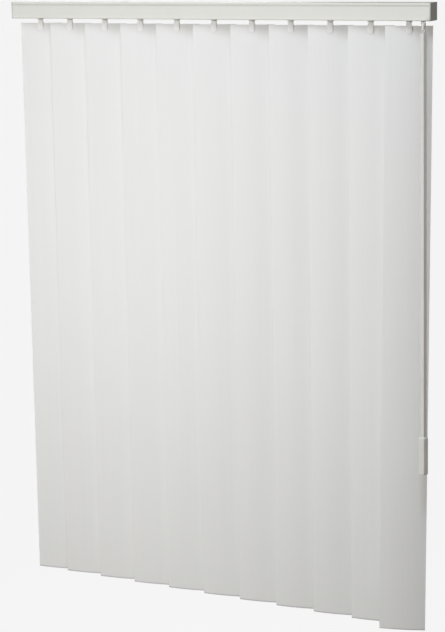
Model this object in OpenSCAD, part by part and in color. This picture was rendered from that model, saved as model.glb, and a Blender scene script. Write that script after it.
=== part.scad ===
// Vertical blind with wand control. A slotted headrail carries wheeled carriers, a fluted
// tilt rod turns a worm in every carrier, and each worm turns the stem that holds a vane.
// Frame: origin in the middle of the headrail's top face, +X along the rail to the wand
// side, +Y away from the room, +Z up. All sizes are in millimetres and degrees.

/* [Headrail] */
// Overall length of the headrail with its end caps
rail_len = 920; // [800:5:1100]
// Depth from the front face to the back face
rail_d = 35; // [35:0.5:42]
// Height of the section
rail_h = 34; // [32:0.5:38]
// Wall of the section
rail_wall = 1.2; // [1:0.05:1.4]
// Width of the slot along the underside
slot_w = 16; // [15.5:0.1:17]
// Height of the guide rib along each side of the slot
slot_rib_h = 1.5; // [1:0.1:1.8]
// Radius of the lower outside edges
rail_edge_r = 2.5; // [1.6:0.1:3.5]
// Height of the lip above each clip groove
clip_lip_h = 4.7; // [4:0.1:5.5]
// Height of the clip grooves
clip_groove_h = 2; // [1.4:0.1:2.2]
// Depth of the clip grooves
clip_groove_d = 1.2; // [0.8:0.1:1.3]

/* [End caps] */
// Thickness of the end cap's outer plate
cap_t = 2.5; // [2:0.1:4]
// Length of the plug inside the rail
plug_len = 9; // [8:0.5:11]
// Wall of the plug
plug_wall = 2; // [1.5:0.1:2.5]

/* [Vanes] */
// Width of a vane across its chord
vane_w = 89; // [87:0.5:92]
// Length of a vane
vane_len = 1180; // [900:10:1500]
// Thickness of a vane
vane_t = 0.8; // [0.6:0.05:0.9]
// Height of a vane's curve over its chord
vane_sag = 3.2; // [2.5:0.1:3.4]
// Gap between the headrail and the top of the vanes
vane_drop = 9.8; // [9.5:0.1:20]
// Width of the hook hole in a vane
hole_w = 10; // [9:0.5:10.5]
// Height of the hook hole in a vane
hole_h = 4; // [3.5:0.1:6]
// Distance from the top of a vane to the middle of its hole
hole_drop = 9; // [8.5:0.1:10.5]

/* [Spacing at rest] */
// Distance from the rail's left end to the first vane
first_inset = 59; // [40:1:70]
// Distance from the lead vane to the rail's right end
lead_inset = 49; // [47:0.5:60]
// Spacing of the first two vanes
first_gap = 71; // [60:1:80]
// Spacing of the vanes in between
vane_gap = 83; // [68:0.5:88]
// Turn of the vanes from the rail's direction
vane_turn = 11; // [10:0.5:40]
// Turn of the lead vane
lead_turn = 19; // [14:0.5:40]
// Lean of the lead vane towards the room
lead_lean = 0.96; // [0:0.02:1]
// Lean of the lead vane along its own width
lead_slant = 0.7; // [0:0.05:0.8]

/* [Carriers] */
// Length of a carrier along the rail
carrier_len = 13; // [12.8:0.1:14]
// Radius of the wheels
wheel_r = 2.9; // [2.6:0.1:3]
// Width of the wheels
wheel_w = 4.4; // [3.5:0.1:4.5]
// Distance between the two axles
axle_gap = 6.6; // [6.2:0.1:7]
// Thickness of the deck and the roof
deck_t = 2; // [1.5:0.1:2.2]
// Thickness of the cheeks that carry the worm
cheek_t = 1.5; // [1.2:0.1:1.6]
// Depth of the neck below the rail
neck_drop = 2; // [1.5:0.1:2.5]
// Radius of the neck in the slot
neck_r = 6.5; // [5:0.1:7]
// Height of the seat under the stem's wheel
seat_h = 4.7; // [4.2:0.1:5]

/* [Spacer links] */
// Width of a link
link_w = 5; // [4:0.1:5.2]
// Thickness of a link
link_t = 0.4; // [0.3:0.05:0.5]
// Height from one link's level to the next
link_step = 0.9; // [0.8:0.05:1]
// Number of levels before they repeat
link_levels = 6; // [6:1:7]
// Amount by which a link's stop is wider than the link
link_stop = 0.7; // [0.6:0.05:0.8]

/* [Worm drive] */
// Teeth on the stem's wheel
gear_teeth = 12; // [10:1:12]
// Module of the worm and wheel
gear_module = 1; // [0.96:0.01:1.02]
// Height of the stem's wheel
gear_h = 3.6; // [3:0.1:4]
// Pitch radius of the worm
worm_r = 4.2; // [4.1:0.05:4.3]
// Radius of the worm's end hubs
hub_r = 3.8; // [3.6:0.05:3.9]
// Radius of the tilt rod
rod_r = 2.5; // [2.3:0.05:2.55]
// Radius of the three flutes along the rod
flute_r = 0.7; // [0.6:0.05:0.8]

/* [Stems] */
// Radius of the stem's shaft
stem_r = 3; // [2.6:0.05:3.2]
// Height of the tapered collar under the carrier
collar_h = 2.4; // [1.8:0.1:2.6]
// Width of the clip that holds the vane
clip_w = 11; // [9:0.5:12]
// Thickness of each prong of the clip
prong_t = 1.2; // [1:0.1:1.5]
// Length of the prongs below the top of the vane
prong_len = 15; // [14:0.5:20]

/* [Wand] */
// Distance along the rail from the lead vane to the root of the wand's arm
arm_inset = 29; // [27:0.5:30]
// Length of the arm between its two round ends
arm_len = 50.3; // [48:0.1:60]
// Direction of the arm
arm_turn = -69; // [-75:1:-60]
// Width of the arm
arm_w = 9; // [8:0.5:10]
// Height of the arm
arm_h = 6.3; // [5.8:0.1:6.5]
// Gap between the rail and the arm
arm_gap = 1.2; // [0.8:0.1:1.4]
// Radius of the wand's six-sided section at its corners
wand_r = 6.6; // [6:0.1:7]
// Length of the wand's shaft
wand_len = 764; // [500:1:900]
// Radius of the grip's six-sided section at its corners
grip_r = 9.4; // [8:0.1:9.6]
// Length of the grip
grip_len = 74; // [60:1:100]
// Radius of the grip's rounded ends
grip_round = 4; // [2:0.1:5]
// Turn of the wand's corners
wand_turn = -4; // [-30:1:30]

/* [Fits] */
// Running gap of a shaft in its bore
shaft_gap = 0.1; // [0.05:0.01:0.12]
// Gap between a moving piece and the face beside it
run_gap = 0.3; // [0.25:0.01:0.4]
// Gap round a piece that is pushed into another
push_gap = 0.05; // [0.03:0.01:0.08]

/* [Hidden] */
$fn = 48;
// Overlap that makes cuts run clear through
through = 1;
// Depth to which joined shapes run into each other
root = 0.4;

// Headrail
rail_half = rail_d / 2;
inner_half = rail_half - rail_wall;
lip_top = -rail_h + rail_wall;
groove_back = 1.2;
groove_wall = 1;
channel_len = rail_len - 2 * cap_t;
plug_gap = 0.2;
plug_half = inner_half - groove_back - plug_gap;
plug_low = lip_top + slot_rib_h + plug_gap;
plug_high = -rail_wall - plug_gap;

// Vane section: radius to the middle of its thickness and half its arc
vane_r = (pow(vane_w / 2, 2) + pow(vane_sag, 2)) / (2 * vane_sag);
vane_half = asin(vane_w / 2 / vane_r);
vane_top = -rail_h - vane_drop;
hook_z = vane_top - hole_drop;

// Carrier levels from the wheels upwards
wheel_z = lip_top + run_gap + wheel_r;
deck_low = wheel_z + wheel_r + run_gap;
deck_top = deck_low + deck_t;
seat_top = deck_top + seat_h;
gear_low = seat_top + run_gap;
rod_z = gear_low + gear_h / 2;
neck_low = -rail_h - neck_drop;
block_low = lip_top + run_gap;
carrier_half = carrier_len / 2;
rib_gap = 0.6;
wheel_in = slot_w / 2 + groove_wall + rib_gap;
slot_gap = 0.5;
block_half = slot_w / 2 - slot_gap;
seat_wall = 1.6;
seat_r = stem_r + seat_wall;
axle_r = 1.2;

// Worm and wheel
gear_r = gear_module * gear_teeth / 2;
tooth_out = 0.8 * gear_module;
gear_tip = gear_r + tooth_out;
gear_root = gear_r - gear_module;
worm_tip = worm_r + tooth_out;
worm_root = worm_r - 0.9 * gear_module;
worm_lead = PI * gear_module;
tooth_tip = 0.35 * gear_module;
tooth_root = 0.75 * gear_module;
crest_half = 37;
crest_steps = 3;
root_half = 76;
root_steps = 5;
slices_per_turn = 10;
rod_y = gear_r + worm_r;
cheek_in = carrier_half - cheek_t;
worm_end_gap = 0.5;
worm_len = 2 * (cheek_in - worm_end_gap);
hub_proud = 0.4;
hub_out = carrier_half + hub_proud;
cheek_bore = hub_r + shaft_gap;
cheek_rim = 1.3;
cheek_near = rod_y - cheek_bore - cheek_rim;
cheek_far = rod_y + cheek_bore + cheek_rim;
roof_gap = 1.2;
roof_low = rod_z + worm_tip + roof_gap;
roof_top = roof_low + deck_t;
rod_gap = 0.15;
flute_out = 0.1;
key_gap = 0.2;
key_r = flute_r - key_gap;
rod_len = channel_len - 2 * (through + run_gap);

// Spacer links
window_w = link_w + link_stop + run_gap;
guide_gap = 0.6;
guide_wall_in = 0.8;
guide_wall_out = 1.2;
guide_near = -gear_tip - guide_gap;
window_near = guide_near - guide_wall_in;
window_mid = window_near - window_w / 2;
window_back = window_near - window_w;
guide_far = window_back - guide_wall_out;
link_rise = 1.4;
link_low = deck_top + link_rise;
link_room = 0.1;
window_low = link_low - link_t;
window_high = link_low + link_levels * link_step + link_room;
stop_len = 1.5;
catch_y = 0.35;

// Stems
clip_half = vane_t / 2 + run_gap + prong_t;
collar_low = neck_low - run_gap - collar_h;
collar_rim = 3.2;
collar_r = stem_r + collar_rim;
saddle_gap = 0.6;
saddle_z = vane_top + saddle_gap;
peg_side = 2;
peg_w = hole_w - 2 * peg_side;
peg_play = 1.6;
peg_h = hole_h - peg_play;

// Wand arm, drive and hook
tilter_gap = 2;
tilter_near = carrier_half + tilter_gap;
tilter_end = 6;
tilter_far = arm_inset + tilter_end;
arm_root_y = -2;
arm_high = -rail_h - arm_gap;
arm_low = arm_high - arm_h;
drive_r = 2.5;
drive_depth = 4.5;
drive_flange_h = 1.2;
drive_low = arm_low - run_gap - drive_flange_h;
eye_r = 2;
eye_wall = 1.4;
eye_t = 3;
eye_drop = 0.7;
eye_z = drive_low - eye_r - eye_drop;
ring_r = 3.4;
wire_r = 1.2;
ring_z = eye_z - ring_r;
hook_neck = 2;
cap_low = ring_z - ring_r - wire_r - hook_neck;
hook_cap_h = 1.5;
hook_cap_r = 5.2;
shank_r = 2;
shank_len = 12;
wand_low = cap_low - wand_len;
spigot_r = 4;
spigot_len = 14;

// Vanes that the rail takes: whole gaps after the first one, and a last gap with what they leave
run_len = rail_len - first_inset - lead_inset;
whole_gaps = round((run_len - first_gap) / vane_gap) - 1;
vane_count = whole_gaps + 3;

// Places along the rail
function carrier_x(k) =
    k == 1 ? -rail_len / 2 + first_inset :
    k == vane_count ? rail_len / 2 - lead_inset :
    carrier_x(1) + first_gap + (k - 2) * vane_gap;
function gap_after(k) = carrier_x(k + 1) - carrier_x(k);
function turn_of(k) = k == vane_count ? lead_turn : vane_turn;
function link_z(k) = link_low + (k % link_levels) * link_step;
function numbered(name, k) = str(name, "_", k < 10 ? "0" : "", k);
lead_x = carrier_x(vane_count);
wand_x = lead_x + arm_inset + arm_len * cos(arm_turn);
wand_y = arm_root_y + arm_len * sin(arm_turn);

// Finishes
rail_white = "#e3e2de";
vane_white = "#e6e7e4";
stem_white = "#d9d9d5";
carrier_white = "#d2d2cc";
cap_white = "#dcdad4";
rod_metal = "#b9bcbf";
wand_white = "#dcdcd7";

// A box given by its lowest and highest corner
module span_box(low, high) {
    translate(low)
        cube(high - low);
}

// A profile drawn in Y and Z, pushed along X from x0 to x1
module along_x(x0, x1) {
    translate([x0, 0, 0])
        rotate([90, 0, 90])
            linear_extrude(x1 - x0)
                children();
}

// Outline of the rail with its two round lower edges
module rail_outline() {
    translate([-rail_half, -rail_h + rail_edge_r])
        square([rail_d, rail_h - rail_edge_r]);
    translate([-rail_half + rail_edge_r, -rail_h])
        square([rail_d - 2 * rail_edge_r, 2 * rail_edge_r]);
    for (side = [-1, 1])
        translate([side * (rail_half - rail_edge_r), -rail_h + rail_edge_r])
            circle(rail_edge_r);
}

// Hollow of the channel, square above and rounded like the outline below
module rail_hollow() {
    inner_r = rail_edge_r - rail_wall;
    translate([-inner_half, lip_top + inner_r])
        square([2 * inner_half, -rail_wall - lip_top - inner_r]);
    translate([-inner_half + inner_r, lip_top])
        square([2 * (inner_half - inner_r), 2 * inner_r]);
    for (side = [-1, 1])
        translate([side * (inner_half - inner_r), lip_top + inner_r])
            circle(inner_r);
}

// Section of the rail: channel, slot, guide ribs and the two clip grooves
module rail_section() {
    groove_low = -clip_lip_h - clip_groove_h;
    difference() {
        union() {
            difference() {
                rail_outline();
                rail_hollow();
            }
            for (side = [-1, 1]) {
                translate([side * (inner_half + (root - groove_back) / 2), (groove_low - groove_wall) / 2])
                    square([groove_back + root, groove_wall - groove_low], center = true);
                translate([side * (slot_w / 2 + groove_wall / 2), lip_top + (slot_rib_h - root) / 2])
                    square([groove_wall, slot_rib_h + root], center = true);
            }
        }
        translate([-slot_w / 2, -rail_h - through])
            square([slot_w, rail_wall + slot_rib_h + 2 * through]);
        for (side = [-1, 1])
            translate([side * rail_half, groove_low + clip_groove_h / 2])
                square([2 * clip_groove_d, clip_groove_h], center = true);
    }
}

module headrail() {
    color(rail_white)
        along_x(-channel_len / 2, channel_len / 2)
            rail_section();
}

// End cap: a plate with the rail's outline, a hollow plug and the rod's bearing
module end_cap(side) {
    inner_x = channel_len / 2 - plug_len;
    color(cap_white)
        mirror([side < 0 ? 1 : 0, 0, 0])
            difference() {
                union() {
                    along_x(channel_len / 2, rail_len / 2)
                        rail_outline();
                    along_x(inner_x, channel_len / 2)
                        difference() {
                            translate([-plug_half, plug_low])
                                square([2 * plug_half, plug_high - plug_low]);
                            translate([-plug_half + plug_wall, plug_low + plug_wall])
                                square([2 * (plug_half - plug_wall), plug_high - plug_low - 2 * plug_wall]);
                        }
                    along_x(inner_x, channel_len / 2)
                        translate([rod_y, rod_z])
                            circle(rod_r + shaft_gap + plug_wall);
                }
                along_x(inner_x - through, channel_len / 2)
                    translate([rod_y, rod_z])
                        circle(rod_r + shaft_gap);
            }
}

// Section of the tilt rod with three flutes
module rod_section() {
    difference() {
        circle(rod_r);
        for (turn = [0, 120, 240])
            rotate(turn)
                translate([rod_r + flute_out, 0])
                    circle(flute_r);
    }
}

module tilt_rod() {
    color(rod_metal)
        along_x(-rod_len / 2, rod_len / 2)
            translate([rod_y, rod_z])
                rod_section();
}

// Keyed bore that slides along the rod's flutes
module keyed_bore() {
    difference() {
        circle(rod_r + rod_gap);
        for (turn = [0, 120, 240])
            rotate(turn)
                translate([rod_r + rod_gap, 0])
                    circle(key_r);
    }
}

// Cross-section of the single-start worm: a crest on one side and the root round the rest
module worm_section() {
    function arc(r, from, to, steps) =
        [for (i = [0 : steps]) let (a = from + i * (to - from) / steps) r * [cos(a), sin(a)]];
    polygon(concat(
        arc(worm_tip, -crest_half, crest_half, crest_steps),
        arc(worm_root, root_half, 360 - root_half, root_steps)
    ));
}

module worm(k) {
    turns = worm_len / worm_lead;
    hub_in = worm_len / 2 - root;
    color(carrier_white)
        translate([carrier_x(k), rod_y, rod_z])
            rotate([0, 90, 0])
                difference() {
                    union() {
                        linear_extrude(worm_len, center = true, twist = -360 * turns,
                                       slices = ceil(turns * slices_per_turn), $fn = slices_per_turn)
                            rotate(-90 - 180 * turns)
                                worm_section();
                        for (side = [-1, 1])
                            translate([0, 0, side * (hub_out + hub_in) / 2])
                                cylinder(r = hub_r, h = hub_out - hub_in, center = true);
                    }
                    linear_extrude(2 * (hub_out + through), center = true)
                        rotate(90)
                            keyed_bore();
                }
}

// Wheel of the stem, with a gap between two teeth towards the worm
module gear_section() {
    circle(gear_root);
    for (i = [0 : gear_teeth - 1])
        rotate(90 + (i + 0.5) * 360 / gear_teeth)
            polygon([
                [gear_root - root, -tooth_root],
                [gear_tip, -tooth_tip],
                [gear_tip, tooth_tip],
                [gear_root - root, tooth_root]
            ]);
}

// Prong of the clip: a tongue with a round lower end
module prong(y0) {
    length = saddle_z - (vane_top - prong_len);
    translate([0, y0 + prong_t, saddle_z - length])
        rotate([90, 0, 0])
            linear_extrude(prong_t) {
                translate([-clip_w / 2, clip_w / 2])
                    square([clip_w, length - clip_w / 2]);
                translate([0, clip_w / 2])
                    circle(clip_w / 2);
            }
}

module stem(k) {
    peg_z = hook_z + (hole_h - peg_h) / 2 - run_gap;
    color(stem_white)
        translate([carrier_x(k), 0, 0]) {
            translate([0, 0, gear_low])
                linear_extrude(gear_h)
                    gear_section();
            translate([0, 0, collar_low])
                cylinder(r = stem_r, h = gear_low - collar_low + gear_h / 2);
            translate([0, 0, collar_low])
                cylinder(r1 = stem_r, r2 = collar_r, h = collar_h);
            rotate(turn_of(k)) {
                span_box([-clip_w / 2, -clip_half, saddle_z], [clip_w / 2, clip_half, collar_low + root]);
                prong(-clip_half);
                prong(clip_half - prong_t);
                span_box([-peg_w / 2, -vane_t / 2, peg_z - peg_h / 2],
                         [peg_w / 2, clip_half - prong_t / 2, peg_z + peg_h / 2]);
            }
        }
}

// Vane: a curved sheet with its round side to the room and a hook hole at the top
module vane(k) {
    lead = k == vane_count;
    color(vane_white)
        translate([carrier_x(k), 0, hook_z])
            rotate(turn_of(k))
                rotate([lead ? -lead_lean : 0, lead ? lead_slant : 0, 0])
                    translate([0, 0, -hook_z])
                        difference() {
                            translate([0, vane_r, vane_top - vane_len])
                                rotate(-90 - vane_half)
                                    rotate_extrude(angle = 2 * vane_half)
                                        translate([vane_r - vane_t / 2, 0])
                                            square([vane_t, vane_len]);
                            span_box([-hole_w / 2, -vane_sag, hook_z - hole_h / 2],
                                     [hole_w / 2, vane_sag, hook_z + hole_h / 2]);
                        }
}

// Two wheels on one axle line, joined to the block beside the slot
module wheel_pair(x) {
    for (side = [-1, 1])
        translate([x, 0, wheel_z])
            rotate([-90 * side, 0, 0]) {
                translate([0, 0, wheel_in])
                    cylinder(r = wheel_r, h = wheel_w);
                translate([0, 0, block_half - root])
                    cylinder(r = axle_r, h = wheel_in - block_half + root + wheel_w / 2);
            }
}

// Frame of a carrier: deck, wheels, neck, worm cheeks, link guide and roof
module carrier_frame() {
    difference() {
        union() {
            span_box([-carrier_half, guide_far, deck_low], [carrier_half, cheek_far, deck_top]);
            span_box([-carrier_half, guide_far, roof_low], [carrier_half, cheek_far, roof_top]);
            span_box([-carrier_half, -block_half, block_low], [carrier_half, block_half, deck_low]);
            translate([0, 0, neck_low])
                cylinder(r = neck_r, h = block_low - neck_low);
            translate([0, 0, deck_top])
                cylinder(r = seat_r, h = seat_h);
            span_box([-carrier_half, guide_far, deck_top], [carrier_half, guide_near, roof_low]);
            for (x0 = [-carrier_half, cheek_in])
                span_box([x0, cheek_near, deck_top], [x0 + cheek_t, cheek_far, roof_low]);
            for (side = [-1, 1])
                wheel_pair(side * axle_gap / 2);
        }
        translate([0, 0, neck_low - through])
            cylinder(r = stem_r + shaft_gap, h = seat_top - neck_low + 2 * through);
        along_x(-carrier_half - through, carrier_half + through)
            translate([rod_y, rod_z])
                circle(cheek_bore);
        span_box([-carrier_half - through, window_back, window_low],
                 [carrier_half + through, window_near, window_high]);
    }
}

// Link to the next carrier, held across its own guide, with a wider stop at its far end
module spacer_link(k) {
    reach = gap_after(k) + carrier_half + run_gap;
    low = link_z(k);
    span_box([-carrier_half, window_back - root, low], [carrier_half, window_near + root, low + link_t]);
    span_box([0, window_mid - link_w / 2, low], [reach + stop_len, window_mid + link_w / 2, low + link_t]);
    span_box([reach, window_mid - (link_w + link_stop) / 2, low],
             [reach + stop_len, window_mid + (link_w + link_stop) / 2, low + link_t]);
}

// Ribs that the stop of the link before meets
module link_catch(k) {
    low = link_z(k - 1) - link_room;
    high = low + link_t + 2 * link_room;
    for (y0 = [window_back - root, window_near - catch_y])
        span_box([carrier_half - stop_len, y0, low], [carrier_half, y0 + catch_y + root, high]);
}

module carrier(k) {
    color(carrier_white)
        translate([carrier_x(k), 0, 0]) {
            carrier_frame();
            spacer_link(k);
            if (k > 1)
                link_catch(k);
        }
}

// Lead carrier: a carrier with a closed tilter beside it and the arm that holds the wand
module lead_carrier() {
    color(carrier_white)
        translate([lead_x, 0, 0])
            difference() {
                union() {
                    carrier_frame();
                    link_catch(vane_count);
                    span_box([carrier_half, -neck_r, deck_low], [tilter_far, cheek_far, deck_top]);
                    span_box([carrier_half, -neck_r, roof_low], [tilter_far, cheek_far, roof_top]);
                    span_box([tilter_near, -neck_r, deck_top], [tilter_far, cheek_far, roof_low]);
                    span_box([tilter_far - carrier_len, -block_half, block_low],
                             [tilter_far, block_half, deck_low]);
                    wheel_pair(tilter_far - carrier_half);
                    translate([arm_inset, arm_root_y, arm_low]) {
                        cylinder(d = arm_w, h = block_low - arm_low);
                        rotate(arm_turn) {
                            span_box([0, -arm_w / 2, 0], [arm_len, arm_w / 2, arm_h]);
                            translate([arm_len, 0, 0])
                                cylinder(d = arm_w, h = arm_h);
                        }
                    }
                }
                along_x(tilter_near - through, tilter_far + through)
                    translate([rod_y, rod_z])
                        circle(rod_r + run_gap);
                translate([wand_x - lead_x, wand_y, arm_low - through])
                    cylinder(r = drive_r + shaft_gap, h = drive_depth + through);
            }
}

// Drive: a short shaft in the arm's end with an eye for the wand's hook
module wand_drive() {
    color(stem_white)
        translate([wand_x, wand_y, 0])
            difference() {
                union() {
                    translate([0, 0, drive_low])
                        cylinder(r = drive_r, h = arm_low + drive_depth - run_gap - drive_low);
                    translate([0, 0, drive_low])
                        cylinder(r = arm_w / 2 - run_gap, h = drive_flange_h);
                    along_x(-eye_t / 2, eye_t / 2)
                        translate([0, eye_z])
                            circle(eye_r + eye_wall);
                    span_box([-eye_t / 2, -eye_r - eye_wall, eye_z], [eye_t / 2, eye_r + eye_wall, drive_low]);
                }
                along_x(-eye_t, eye_t)
                    translate([0, eye_z])
                        circle(eye_r);
            }
}

// Hook: a closed ring through the eye, a cap on the wand's end and a shank inside it
module wand_hook() {
    shank_top = ring_z - ring_r;
    color(stem_white)
        translate([wand_x, wand_y, 0]) {
            translate([0, 0, ring_z])
                rotate([90, 0, 0])
                    rotate_extrude()
                        translate([ring_r, 0])
                            circle(wire_r);
            translate([0, 0, cap_low])
                cylinder(r = hook_cap_r, h = hook_cap_h);
            translate([0, 0, cap_low - shank_len])
                cylinder(r = shank_r, h = shank_top - cap_low + shank_len);
        }
}

module wand_shaft() {
    color(wand_white)
        translate([wand_x, wand_y, 0])
            difference() {
                union() {
                    translate([0, 0, wand_low])
                        rotate(wand_turn)
                            cylinder(r = wand_r, h = wand_len, $fn = 6);
                    translate([0, 0, wand_low - spigot_len])
                        cylinder(r = spigot_r, h = spigot_len + through);
                }
                translate([0, 0, cap_low - shank_len - run_gap])
                    cylinder(r = shank_r + push_gap, h = shank_len + run_gap + through);
            }
}

// Outline of the grip's lengthwise section, from its middle to its corners
module grip_profile() {
    square([grip_r - grip_round, grip_len]);
    translate([0, grip_round])
        square([grip_r, grip_len - 2 * grip_round]);
    for (z = [grip_round, grip_len - grip_round])
        intersection() {
            translate([grip_r - grip_round, z])
                circle(grip_round);
            square([grip_r, grip_len]);
        }
}

module wand_grip() {
    color(wand_white)
        translate([wand_x, wand_y, wand_low - grip_len])
            difference() {
                intersection() {
                    rotate(wand_turn)
                        cylinder(r = grip_r, h = grip_len, $fn = 6);
                    rotate_extrude()
                        grip_profile();
                }
                translate([0, 0, grip_len - spigot_len - run_gap])
                    cylinder(r = spigot_r + push_gap, h = spigot_len + run_gap + through);
            }
}

headrail();
end_cap(-1);  // end_cap_left
end_cap(1);  // end_cap_right
tilt_rod();
for (k = [1 : vane_count - 1])
    carrier(k);
lead_carrier();
for (k = [1 : vane_count]) {
    worm(k);
    stem(k);
    vane(k);
}
wand_drive();
wand_hook();
wand_shaft();
wand_grip();
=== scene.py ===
"""Looks of a white vertical blind: procedural finishes, soft studio light and the camera."""

import math

import bpy
from mathutils import Euler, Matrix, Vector


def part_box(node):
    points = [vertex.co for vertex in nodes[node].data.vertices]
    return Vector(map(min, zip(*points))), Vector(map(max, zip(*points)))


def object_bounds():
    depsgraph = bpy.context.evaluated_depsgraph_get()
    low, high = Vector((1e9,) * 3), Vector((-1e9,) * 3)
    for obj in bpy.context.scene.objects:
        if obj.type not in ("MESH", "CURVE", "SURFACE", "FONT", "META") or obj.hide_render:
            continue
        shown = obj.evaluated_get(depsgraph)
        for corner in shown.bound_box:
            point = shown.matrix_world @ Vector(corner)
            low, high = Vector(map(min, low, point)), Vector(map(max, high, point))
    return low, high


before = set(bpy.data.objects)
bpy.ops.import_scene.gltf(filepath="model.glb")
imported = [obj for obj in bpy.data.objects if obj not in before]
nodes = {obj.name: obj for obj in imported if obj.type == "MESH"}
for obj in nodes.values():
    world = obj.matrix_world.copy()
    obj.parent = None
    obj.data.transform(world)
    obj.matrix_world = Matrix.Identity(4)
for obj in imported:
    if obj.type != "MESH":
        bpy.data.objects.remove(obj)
cad_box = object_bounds()
scene = bpy.context.scene
scene.view_settings.view_transform = "Standard"

# Camera, from the corners of the rail and the vanes in the photograph
CAMERA_PLACE = (1.7137, -3.3607, 0.1731)
CAMERA_TURN = (80.573, 1.305, 28.536)
CAMERA_LENS = 108.413
CAMERA_SENSOR = 36.0
CAMERA_SHIFT = (0.0989, -0.1361)

# Backdrop that the camera sees, sky that lights the blind, and floor
BACKDROP = (0.905, 0.905, 0.905)
AMBIENT = (1.0, 0.94, 0.86)
AMBIENT_STRENGTH = 0.20
FLOOR_DROP = 0.9
FLOOR_SIZE = 60.0
FLOOR_GREY = (0.012, 0.012, 0.012)
FLOOR_ROUGHNESS = 0.9
FLOOR_GLOW = 0.996

# Lights: place, point aimed at, width and height, power, colour
WARM = (1.0, 0.984, 0.981)
COOL = (0.890, 0.929, 1.0)
PLAIN = (0.98, 0.98, 1.0)
LIGHTS = {
    "front": ((-0.24, -1.55, -0.64), (0.0, 0.0, -0.6), (0.7, 0.9), 9.8, WARM),
    "left": ((-1.30, -2.10, -0.60), (0.0, 0.0, -0.7), (1.0, 1.0), 9.8, WARM),
    "top": ((0.77, -1.50, 1.98), (0.0, 0.0, -0.4), (0.5, 1.1), 37.8, COOL),
    "fill": ((-0.35, -1.75, 0.95), (-0.1, 0.0, -0.3), (0.9, 0.7), 5.8, COOL),
    "back": ((-1.40, 2.60, -0.60), (0.0, 0.0, -0.6), (1.2, 0.9), 45.0, PLAIN),
    "rim": ((-2.10, 3.20, 0.90), (0.0, 0.0, 0.0), (1.6, 0.8), 20.0, PLAIN),
}

# Base colours
RAIL_WHITE = (0.712, 0.717, 0.669)
# The end cap's white is painted darker grey: painted shade for its end face, which faces away from
# the lights
CAP_SHADED_GREY = (0.54, 0.53, 0.505)
ROD_METAL = (0.60, 0.61, 0.62)
CARRIER_WHITE = (0.66, 0.66, 0.62)
WORM_WHITE = (0.68, 0.68, 0.64)
STEM_WHITE = (0.885, 0.88, 0.86)
VANE_WHITE = (0.800, 0.808, 0.792)
DRIVE_WHITE = (0.86, 0.855, 0.835)
HOOK_WHITE = (0.62, 0.62, 0.59)
SHAFT_WHITE = (0.69, 0.69, 0.66)
GRIP_WHITE = (0.72, 0.72, 0.69)

# Share of a noise's scale along x, y and z: a small share draws it out along that axis
EVEN = (1.0, 1.0, 1.0)
RAIL_LINES = (0.004, 1.0, 1.0)
ROD_STREAKS = (0.01, 1.0, 1.0)
VANE_CLOUD = (1.0, 1.0, 0.35)
VANE_GRAIN = (1.0, 1.0, 0.2)
VANE_LINES = (1.0, 1.0, 0.006)
WAND_MARKS = (1.0, 1.0, 0.01)

# Values of a noise between which a colour goes from its low to its high share
NOISE_SPAN = (0.3, 0.7)

# Heights above the lower edge over which the rail's painted highlight and the vanes' darker band fade
# out, in metres
RAIL_HIGHLIGHT_BAND = (0.003, 0.006)
VANE_FOOT = (0.0015, 0.0035)

# Reach of the shade in the rail's grooves, in metres
GROOVE_REACH = 0.0008

# Blue light goes less deep into milky plastic than red and green
BLUE_REACH = 0.85


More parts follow.
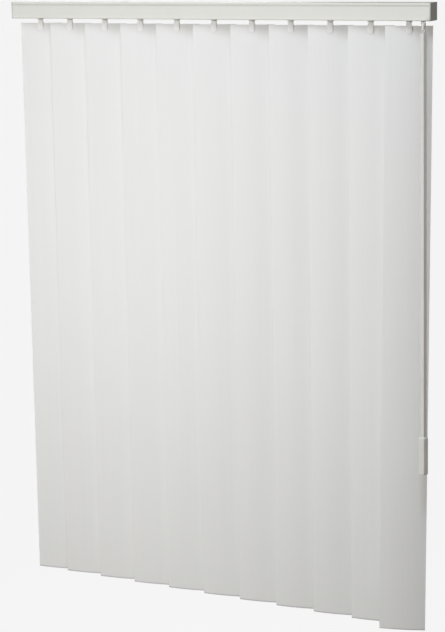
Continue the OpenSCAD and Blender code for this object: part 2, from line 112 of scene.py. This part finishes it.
class Shader:
    """Small helper that builds one node material around a Principled shader."""

    def __init__(self, name, colour, roughness):
        self.material = bpy.data.materials.new(name)
        self.material.use_nodes = True
        self.material.diffuse_color = (*colour, 1.0)
        self.tree = self.material.node_tree
        self.shader = self.tree.nodes["Principled BSDF"]
        self.base = self.shader.inputs["Base Color"]
        self.base.default_value = (*colour, 1.0)
        self.set("Roughness", roughness)

    def node(self, kind, **values):
        made = self.tree.nodes.new(kind)
        for name, value in values.items():
            made.inputs[name].default_value = value
        return made

    def link(self, out, into):
        self.tree.links.new(out, into)

    def set(self, name, value):
        self.shader.inputs[name].default_value = value

    def place(self, stretch=EVEN):
        """Object coordinates, which are metres in the frame, stretched along the axes."""
        coords = self.node("ShaderNodeTexCoord")
        mapping = self.node("ShaderNodeMapping", Scale=stretch)
        self.link(coords.outputs["Object"], mapping.inputs["Vector"])
        return mapping.outputs["Vector"]

    def height(self):
        """Height in the frame, in metres."""
        parts = self.node("ShaderNodeSeparateXYZ")
        self.link(self.place(), parts.inputs["Vector"])
        return parts.outputs["Z"]

    def noise(self, scale, detail=3.0, rough=0.55, stretch=EVEN):
        made = self.node("ShaderNodeTexNoise", Scale=scale, Detail=detail, Roughness=rough)
        self.link(self.place(stretch), made.inputs["Vector"])
        return made.outputs["Fac"]

    def colour(self, factor, colour, low, high):
        """Base colour that goes from low to high times the colour as the noise goes up."""
        made = self.node("ShaderNodeValToRGB")
        for stop, position, share in zip(made.color_ramp.elements, NOISE_SPAN, (low, high)):
            stop.position = position
            stop.color = (*(c * share for c in colour), 1.0)
        self.link(factor, made.inputs["Fac"])
        self.link(made.outputs["Color"], self.base)

    def shade(self, factor, low, high, span=NOISE_SPAN):
        """Scales the base colour, from low to high as the factor goes through the span."""
        limits = {"From Min": span[0], "From Max": span[1], "To Min": low, "To Max": high}
        share = self.node("ShaderNodeMapRange", **limits)
        made = self.node("ShaderNodeVectorMath")
        made.operation = "SCALE"
        self.link(factor, share.inputs["Value"])
        self.link(self.base.links[0].from_socket, made.inputs["Vector"])
        self.link(share.outputs["Result"], made.inputs["Scale"])
        self.link(made.outputs["Vector"], self.base)

    def foot(self, level, share, rises):
        """Scales the base colour by the share at the level, fading out between the rises above it."""
        self.shade(self.height(), share, 1.0, [level + rise for rise in rises])

    def painted_crevice_shade(self, reach):
        """Painted shade: darkens the base colour in narrow grooves, where little light reaches."""
        made = self.node("ShaderNodeAmbientOcclusion", Distance=reach)
        made.only_local = True
        self.link(self.base.links[0].from_socket, made.inputs["Color"])
        self.link(made.outputs["Color"], self.base)

    def milky(self, weight, reach):
        """Lets light into the surface and out again within the reach, in metres."""
        self.set("Subsurface Weight", weight)
        self.set("Subsurface Radius", (reach, reach, reach * BLUE_REACH))
        self.set("Subsurface Scale", 1.0)

    def roughness(self, factor, low, high):
        made = self.node("ShaderNodeMapRange", **{"To Min": low, "To Max": high})
        self.link(factor, made.inputs["Value"])
        self.link(made.outputs["Result"], self.shader.inputs["Roughness"])

    def bump(self, factor, depth):
        """Relief of the given depth, in metres."""
        made = self.node("ShaderNodeBump", Strength=1.0, Distance=depth)
        self.link(factor, made.inputs["Height"])
        self.link(made.outputs["Normal"], self.shader.inputs["Normal"])


def rail_finish():
    """Baked off-white paint on an extrusion: faint draw lines, painted shade in the grooves, a
    painted highlight along the lower edge.
    """
    made = Shader("rail_paint", RAIL_WHITE, roughness=0.42)
    lines = made.noise(scale=900.0, detail=2.0, rough=0.6, stretch=RAIL_LINES)
    cloud = made.noise(scale=18.0)
    made.colour(cloud, RAIL_WHITE, low=0.985, high=1.012)
    made.shade(lines, low=0.985, high=1.008)
    # Painted highlight: the paint is made paler along the rail's lower edge
    made.foot(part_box("headrail")[0].z, share=1.06, rises=RAIL_HIGHLIGHT_BAND)
    # Painted shade: the paint is darkened in the clip grooves
    made.painted_crevice_shade(GROOVE_REACH)
    made.roughness(cloud, low=0.38, high=0.46)
    made.bump(lines, depth=0.00003)
    return made.material


def cap_finish():
    """White moulded plastic with a fine spark-eroded texture; its base colour is painted darker grey,
    as painted shade for the end face that faces away from the lights.
    """
    made = Shader("cap_plastic", CAP_SHADED_GREY, roughness=0.55)
    grain = made.noise(scale=2600.0, detail=2.0)
    cloud = made.noise(scale=60.0)
    made.colour(cloud, CAP_SHADED_GREY, low=0.96, high=1.03)
    made.roughness(grain, low=0.48, high=0.64)
    made.bump(grain, depth=0.00006)
    return made.material


def rod_finish():
    """Drawn aluminium with streaks along the rod."""
    made = Shader("rod_metal", ROD_METAL, roughness=0.32)
    streaks = made.noise(scale=1400.0, rough=0.6, stretch=ROD_STREAKS)
    made.set("Metallic", 1.0)
    made.colour(streaks, ROD_METAL, low=0.9, high=1.08)
    made.roughness(streaks, low=0.26, high=0.42)
    made.bump(streaks, depth=0.00002)
    return made.material


def milky_finish(name, white, roughness, weight=0.12, reach=0.0012):
    """Natural moulded plastic that lets a little light in."""
    made = Shader(name, white, roughness)
    cloud = made.noise(scale=140.0)
    grain = made.noise(scale=1800.0, detail=2.0)
    made.milky(weight, reach)
    made.colour(cloud, white, low=0.96, high=1.03)
    made.roughness(cloud, low=roughness - 0.05, high=roughness + 0.06)
    made.bump(grain, depth=0.00002)
    return made.material


def vane_finish():
    """Rigid white vinyl: matt, with faint lines down it, a fine grain and a darker band along the
    foot.
    """
    made = Shader("vane_vinyl", VANE_WHITE, roughness=0.50)
    cloud = made.noise(scale=3.5, rough=0.5, stretch=VANE_CLOUD)
    grain = made.noise(scale=700.0, detail=2.0, rough=0.6, stretch=VANE_GRAIN)
    lines = made.noise(scale=220.0, detail=2.0, rough=0.6, stretch=VANE_LINES)
    made.set("Specular IOR Level", 0.35)
    made.colour(cloud, VANE_WHITE, low=0.985, high=1.01)
    made.shade(lines, low=0.990, high=1.004)
    # Darkens the base colour in a thin band along the vane's foot
    made.foot(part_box("vane_01")[0].z, share=0.72, rises=VANE_FOOT)
    made.roughness(cloud, low=0.46, high=0.56)
    made.bump(grain, depth=0.00002)
    return made.material


def wand_finish(name, white, weight, reach):
    """White moulded wand: satin facets with long faint draw marks."""
    made = Shader(name, white, roughness=0.45)
    marks = made.noise(scale=500.0, detail=2.0, rough=0.6, stretch=WAND_MARKS)
    cloud = made.noise(scale=40.0)
    made.milky(weight, reach)
    made.set("Specular IOR Level", 0.3)
    made.colour(cloud, white, low=0.97, high=1.02)
    made.shade(marks, low=0.98, high=1.01)
    made.roughness(cloud, low=0.40, high=0.52)
    made.bump(marks, depth=0.00002)
    return made.material


def paint(material, prefix):
    """Gives a finish to every node whose name starts with the prefix."""
    for name, thing in nodes.items():
        if name.startswith(prefix):
            thing.data.materials.clear()
            thing.data.materials.append(material)


def finishes():
    carrier = milky_finish("carrier_plastic", CARRIER_WHITE, roughness=0.48)
    worm = milky_finish("worm_plastic", WORM_WHITE, roughness=0.40)
    stem = milky_finish("stem_plastic", STEM_WHITE, roughness=0.42, weight=0.3, reach=0.002)
    paint(rail_finish(), "headrail")
    paint(cap_finish(), "end_cap")
    paint(rod_finish(), "tilt_rod")
    paint(carrier, "carrier")
    paint(carrier, "lead_carrier")
    paint(worm, "worm")
    paint(stem, "stem")
    paint(vane_finish(), "vane")
    paint(milky_finish("fitting_plastic", DRIVE_WHITE, roughness=0.36), "wand_drive")
    paint(milky_finish("hook_plastic", HOOK_WHITE, roughness=0.36), "wand_hook")
    paint(wand_finish("wand_plastic", SHAFT_WHITE, weight=0.3, reach=0.002), "wand_shaft")
    paint(wand_finish("grip_plastic", GRIP_WHITE, weight=0.8, reach=0.004), "wand_grip")


def backdrop():
    """Even pale surround for the camera, and a dimmer sky that lights the blind."""
    world = bpy.data.worlds.new("studio")
    world.use_nodes = True
    scene.world = world
    tree = world.node_tree
    seen = tree.nodes["Background"]
    seen.inputs["Color"].default_value = (*BACKDROP, 1.0)
    seen.inputs["Strength"].default_value = 1.0
    lit = tree.nodes.new("ShaderNodeBackground")
    lit.inputs["Color"].default_value = (*AMBIENT, 1.0)
    lit.inputs["Strength"].default_value = AMBIENT_STRENGTH
    path = tree.nodes.new("ShaderNodeLightPath")
    mix = tree.nodes.new("ShaderNodeMixShader")
    tree.links.new(path.outputs["Is Camera Ray"], mix.inputs["Fac"])
    tree.links.new(lit.outputs["Background"], mix.inputs[1])
    tree.links.new(seen.outputs["Background"], mix.inputs[2])
    tree.links.new(mix.outputs["Shader"], tree.nodes["World Output"].inputs["Surface"])


def floor():
    """Plain pale floor well below the blind, which throws no light back at it."""
    level = cad_box[0].z - FLOOR_DROP
    bpy.ops.mesh.primitive_plane_add(size=FLOOR_SIZE, location=(0.0, 0.0, level))
    plane = bpy.context.object
    plane.name = "floor"
    made = Shader("floor_paper", FLOOR_GREY, FLOOR_ROUGHNESS)
    made.set("Emission Color", (*BACKDROP, 1.0))
    made.set("Emission Strength", FLOOR_GLOW)
    made.set("Specular IOR Level", 0.0)
    plane.data.materials.append(made.material)
    plane.visible_diffuse = False
    plane.visible_glossy = False


def area_light(name, place, target, size, power, colour):
    """Soft light that the camera doesn't see."""
    data = bpy.data.lights.new(name, "AREA")
    data.shape = "RECTANGLE"
    data.size, data.size_y = size
    data.energy = power
    data.color = colour
    lamp = bpy.data.objects.new(name, data)
    lamp.location = place
    aim = Vector(target) - Vector(place)
    lamp.rotation_euler = aim.to_track_quat("-Z", "Y").to_euler()
    lamp.visible_camera = False
    scene.collection.objects.link(lamp)


def camera():
    """Camera at the photograph's viewing angle."""
    data = bpy.data.cameras.new("camera")
    data.lens = CAMERA_LENS
    data.sensor_width = CAMERA_SENSOR
    data.shift_x, data.shift_y = CAMERA_SHIFT
    thing = bpy.data.objects.new("camera", data)
    thing.location = CAMERA_PLACE
    thing.rotation_euler = Euler([math.radians(a) for a in CAMERA_TURN])
    scene.collection.objects.link(thing)
    scene.camera = thing


finishes()
backdrop()
floor()
for light_name, light in LIGHTS.items():
    area_light(light_name, *light)
camera()
